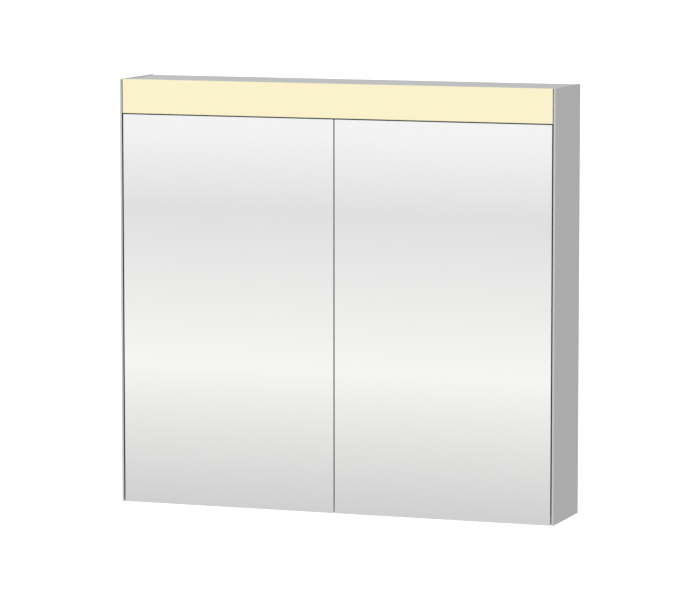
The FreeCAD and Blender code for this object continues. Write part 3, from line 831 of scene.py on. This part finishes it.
# Bumpers: clear domes that take the knock when a door shuts.
bumper = {"round": 0.0014, "foot": 0.0002, "domeSteps": 5}
for side in sides:
    node = side + "_door_bumpers"
    shapes = []
    for low, high in solidBoxes(node):
        middle = (low + high) / 2
        rings = roundProfile((high[0] - low[0]) / 2, low[1] - middle[1], high[1] - middle[1],
                             bumper["foot"], bumper["round"], bumper["domeSteps"])
        shapes.append((turnProfile(rings, middle, "y"), 0))
    makePiece(side + "DoorBumpers", node, shapes, ["clearSiliconeRubber"])

# Shelf pins with eased ends, under the rubber sleeves that the glass lies on.
pin = {"radius": 0.0025, "long": 0.015, "ease": 0.0004, "sleeveEase": 0.0006, "around": 20}


def makePins(spec):
    pins, sleeves = [], []
    for low, high in solidBoxes("shelf_support_sleeves"):
        middle = (low + high) / 2
        shelfLow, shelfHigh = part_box(("left" if middle[0] < 0 else "right") + "_upper_shelf")
        intoBoard = np.sign(middle[0] - (shelfLow.x + shelfHigh.x) / 2)
        free = np.array([low[0] if intoBoard > 0 else high[0], middle[1], middle[2]])
        rod = roundProfile(spec["radius"], 0, spec["long"], spec["ease"], spec["ease"])
        pins.append((turnProfile(rod, free, "x", spec["around"], intoBoard), 0))
        tube = ringProfile(spec["radius"], (high[1] - low[1]) / 2, 0, high[0] - low[0],
                           spec["sleeveEase"])
        sleeves.append((turnProfile(tube, free, "x", spec["around"], intoBoard), 0, "loop"))
    makePiece("shelfPins", "shelf_supports", pins, ["nickelPlatedSteel"])
    makePiece("shelfPinSleeves", "shelf_support_sleeves", sleeves, ["clearSiliconeRubber"])


makePins(pin)
print("pins and bumpers made")

# Lower wall washers and the cable grommet are turned rings.
washer = {"bore": 0.0035, "ease": 0.0005, "around": 32}
shapes = []
for low, high in solidBoxes("lower_wall_washers"):
    middle = (low + high) / 2
    ring = ringProfile(washer["bore"], (high[0] - low[0]) / 2, low[1] - middle[1],
                       high[1] - middle[1], washer["ease"])
    shapes.append((turnProfile(ring, middle, "y", washer["around"]), 0, "loop"))
makePiece("lowerWasherRings", "lower_wall_washers", shapes, ["zincPlatedSteel"])

grommet = {"bore": 0.005, "neck": 0.008, "collar": 0.0025, "ease": 0.0008, "around": 32}


def makeGrommet(spec):
    low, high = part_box("cable_grommet")
    middle = ((low.x + high.x) / 2, 0, (low.z + high.z) / 2)
    radius, seat = (high.x - low.x) / 2, low.y + spec["collar"]
    collar = roundProfile(radius, low.y, seat, spec["ease"], spec["ease"])
    neck = [(spec["neck"], seat), (spec["neck"], high.y)]
    bore = [(spec["bore"], high.y), (spec["bore"], low.y + spec["ease"]),
            (spec["bore"] + spec["ease"] / 2, low.y)]
    section = [*collar, *neck, *bore]
    makePiece("cableGrommetRing", "cable_grommet",
              [(turnProfile(section, middle, "y", spec["around"]), 0, "loop")],
              ["mouldedEpdmRubber"])


makeGrommet(grommet)
print("rings made")

# Screws: a low domed head with a four-lobed socket, on a plain shank.
screw = {
    "socket": 0.55,  # the socket's mouth, the flat crown and the shoulder below it,
    "crown": 0.82,  # as shares of the head's radius
    "shoulder": 0.95,
    "socketFloor": 0.35,  # the socket's floor and the top of its wall, as shares of
    "socketWall": 0.9,  # its mouth
    "lobe": 0.28,  # how far each lobe swells, as a share of the radius there
    "depth": 0.6,  # the socket's depth and the eased rim, as shares of the head's height
    "ease": 0.18,
    "around": 24,
}
screwSets = {
    "hinge_plate_screws": {"axis": "x", "head": 0.41, "shank": 0.0019,
                           "finish": "nickelPlatedSteel"},
    "hinge_arm_screws": {"axis": "x", "head": 0.53, "shank": 0.0015,
                         "finish": "nickelPlatedSteel"},
    "left_door_cup_screws": {"axis": "y", "head": 0.364, "shank": 0.0017, "towards": 1,
                             "finish": "nickelPlatedSteel"},
    "right_door_cup_screws": {"axis": "y", "head": 0.364, "shank": 0.0017, "towards": 1,
                              "finish": "nickelPlatedSteel"},
    "hanger_adjust_screws": {"axis": "y", "head": 0.588, "shank": 0.0020, "towards": -1,
                             "finish": "zincPlatedSteel"},
}


# From the socket's floor out over the dome, down the rim and along the shank.
def screwProfile(headRadius, headHigh, shankRadius, shankLong):
    socket = headRadius * screw["socket"]
    ease = headHigh * screw["ease"]
    floor = headHigh * (1 - screw["depth"])
    lobe = screw["lobe"]
    return [(socket * screw["socketFloor"], floor, lobe),
            (socket * screw["socketWall"], headHigh - ease, lobe),
            (socket, headHigh, lobe),
            (headRadius * screw["crown"], headHigh, 0),
            (headRadius * screw["shoulder"], headHigh - ease, 0),
            (headRadius, headHigh - 2 * ease, 0),
            (headRadius, 0, 0), (shankRadius, 0, 0), (shankRadius, -shankLong, 0)]


for node, spec in screwSets.items():
    axis = "xyz".index(spec["axis"])
    shapes = []
    for low, high in solidBoxes(node):
        centre = (low + high) / 2
        towards = spec.get("towards", -np.sign(centre[0]))  # heads face the middle
        headRadius = np.delete(high - low, axis).max() / 2
        headHigh = headRadius * spec["head"]
        face, tip = (high[axis], low[axis]) if towards > 0 else (low[axis], high[axis])
        centre[axis] = face - towards * headHigh
        rings = screwProfile(headRadius, headHigh, spec["shank"], abs(centre[axis] - tip))
        shapes.append((turnProfile(rings, centre, spec["axis"], screw["around"], towards), 0))
    makePiece(node.title().replace("_", ""), node, shapes, [spec["finish"]])
print("screws made")
